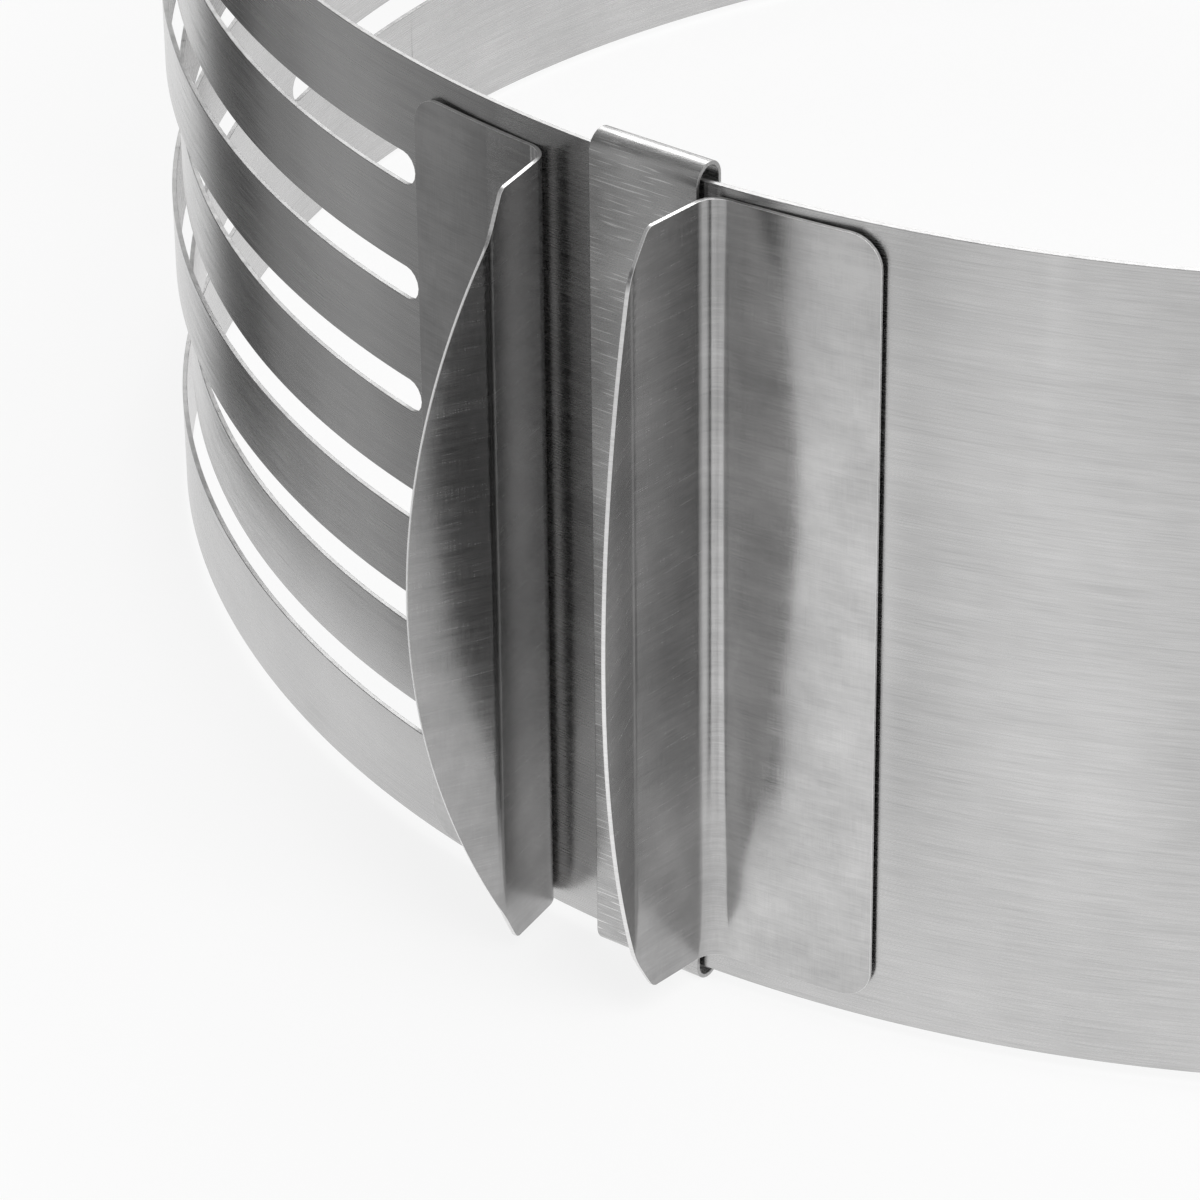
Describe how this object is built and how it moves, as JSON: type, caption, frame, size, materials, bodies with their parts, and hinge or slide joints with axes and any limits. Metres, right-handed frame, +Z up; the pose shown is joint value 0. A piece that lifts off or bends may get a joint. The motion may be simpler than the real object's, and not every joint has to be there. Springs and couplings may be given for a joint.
{
  "type": "adjustable cake ring",
  "caption": "Adjustable cake ring: slotted spring steel strip rolled into a ring, lapped in a folded guide clip, with two folded sheet grips that set its diameter.",
  "frame": {"origin": "middle of the part's outline, on the level of the clip's lower fold", "axes": "+Z up along the ring's axis, -Y towards the lap with its clip and grips"},
  "size_m": [0.2412, 0.2609, 0.0882],
  "materials": {
    "band_steel": "stainless strip, brushed along its length",
    "clip_steel": "stainless sheet, rubbed bright by sliding",
    "grip_steel": "stainless sheet, fine satin with handling marks"
  },
  "bodies": {
    "outer_end": {"plain_wall_1": "band_steel", "guide_clip": "clip_steel", "right_grip": "grip_steel"},
    "plain_2": {"plain_wall_2": "band_steel"},
    "plain_3": {"plain_wall_3": "band_steel"},
    "slotted_1": {"slotted_wall_1": "band_steel"},
    "slotted_2": {"slotted_wall_2": "band_steel"},
    "slotted_3": {"slotted_wall_3": "band_steel"},
    "slotted_4": {"slotted_wall_4": "band_steel"},
    "slotted_5": {"slotted_wall_5": "band_steel"},
    "slotted_6": {"slotted_wall_6": "band_steel"},
    "slotted_7": {"slotted_wall_7": "band_steel"},
    "slotted_8": {"slotted_wall_8": "band_steel"},
    "grip_end": {"grip_wall": "band_steel", "left_grip": "grip_steel"},
    "tail_1": {"tail_wall_1": "band_steel"},
    "tail_2": {"tail_wall_2": "band_steel"},
    "tail_3": {"tail_wall_3": "band_steel"}
  },
  "joints": [
    {"name": "ring_opening", "type": "hinge", "parent": "slotted_5", "child": "slotted_4", "pos_m": [-0.08322, 0.09698, 0.0435], "axis": [0, 0, 1], "range_deg": [-0.17, 6.04]},
    {"name": "flex_1", "type": "hinge", "parent": "plain_2", "child": "outer_end", "pos_m": [0.06234, -0.09347, 0.0435], "axis": [0, 0, 1], "range_deg": [-0.52, 7.22]},
    {"name": "flex_2", "type": "hinge", "parent": "plain_3", "child": "plain_2", "pos_m": [0.10918, -0.04112, 0.0435], "axis": [0, 0, 1], "range_deg": [-0.51, 6.76]},
    {"name": "flex_3", "type": "hinge", "parent": "slotted_1", "child": "plain_3", "pos_m": [0.11896, 0.02839, 0.0435], "axis": [0, 0, 1], "range_deg": [-0.49, 6.25]},
    {"name": "flex_4", "type": "hinge", "parent": "slotted_2", "child": "slotted_1", "pos_m": [0.09207, 0.08742, 0.0435], "axis": [0, 0, 1], "range_deg": [-0.48, 5.98]},
    {"name": "flex_5", "type": "hinge", "parent": "slotted_3", "child": "slotted_2", "pos_m": [0.03853, 0.12395, 0.0435], "axis": [0, 0, 1], "range_deg": [-0.49, 6.12]},
    {"name": "flex_6", "type": "hinge", "parent": "slotted_4", "child": "slotted_3", "pos_m": [-0.02614, 0.12745, 0.0435], "axis": [0, 0, 1], "range_deg": [-0.49, 6.29]},
    {"name": "flex_8", "type": "hinge", "parent": "slotted_5", "child": "slotted_6", "pos_m": [-0.11624, 0.04138, 0.0435], "axis": [0, 0, -1], "range_deg": [-0.49, 6.29]},
    {"name": "flex_9", "type": "hinge", "parent": "slotted_6", "child": "slotted_7", "pos_m": [-0.11568, -0.02322, 0.0435], "axis": [0, 0, -1], "range_deg": [-0.49, 6.07]},
    {"name": "flex_10", "type": "hinge", "parent": "slotted_7", "child": "slotted_8", "pos_m": [-0.08266, -0.07731, 0.0435], "axis": [0, 0, -1], "range_deg": [-0.48, 5.92]},
    {"name": "flex_11", "type": "hinge", "parent": "slotted_8", "child": "grip_end", "pos_m": [-0.02675, -0.10702, 0.0435], "axis": [0, 0, -1], "range_deg": [-0.47, 5.62]},
    {"name": "flex_12", "type": "hinge", "parent": "grip_end", "child": "tail_1", "pos_m": [0.02765, -0.10661, 0.0435], "axis": [0, 0, -1], "range_deg": [-0.48, 5.71]},
    {"name": "flex_13", "type": "hinge", "parent": "tail_1", "child": "tail_2", "pos_m": [0.07962, -0.07909, 0.0435], "axis": [0, 0, -1], "range_deg": [-0.49, 6.16]},
    {"name": "flex_14", "type": "hinge", "parent": "tail_2", "child": "tail_3", "pos_m": [0.1119, -0.03015, 0.0435], "axis": [0, 0, -1], "range_deg": [-0.45, 4.92]}
  ],
  "couplings": [
    {"joint": "flex_1", "follows": "ring_opening", "ratio": 1.143},
    {"joint": "flex_2", "follows": "ring_opening", "ratio": 1.067},
    {"joint": "flex_3", "follows": "ring_opening", "ratio": 0.983},
    {"joint": "flex_4", "follows": "ring_opening", "ratio": 0.938},
    {"joint": "flex_5", "follows": "ring_opening", "ratio": 0.961},
    {"joint": "flex_6", "follows": "ring_opening", "ratio": 0.989},
    {"joint": "flex_8", "follows": "ring_opening", "ratio": 0.989},
    {"joint": "flex_9", "follows": "ring_opening", "ratio": 0.952},
    {"joint": "flex_10", "follows": "ring_opening", "ratio": 0.928},
    {"joint": "flex_11", "follows": "ring_opening", "ratio": 0.878},
    {"joint": "flex_12", "follows": "ring_opening", "ratio": 0.893},
    {"joint": "flex_13", "follows": "ring_opening", "ratio": 0.967},
    {"joint": "flex_14", "follows": "ring_opening", "ratio": 0.762}
  ]
}
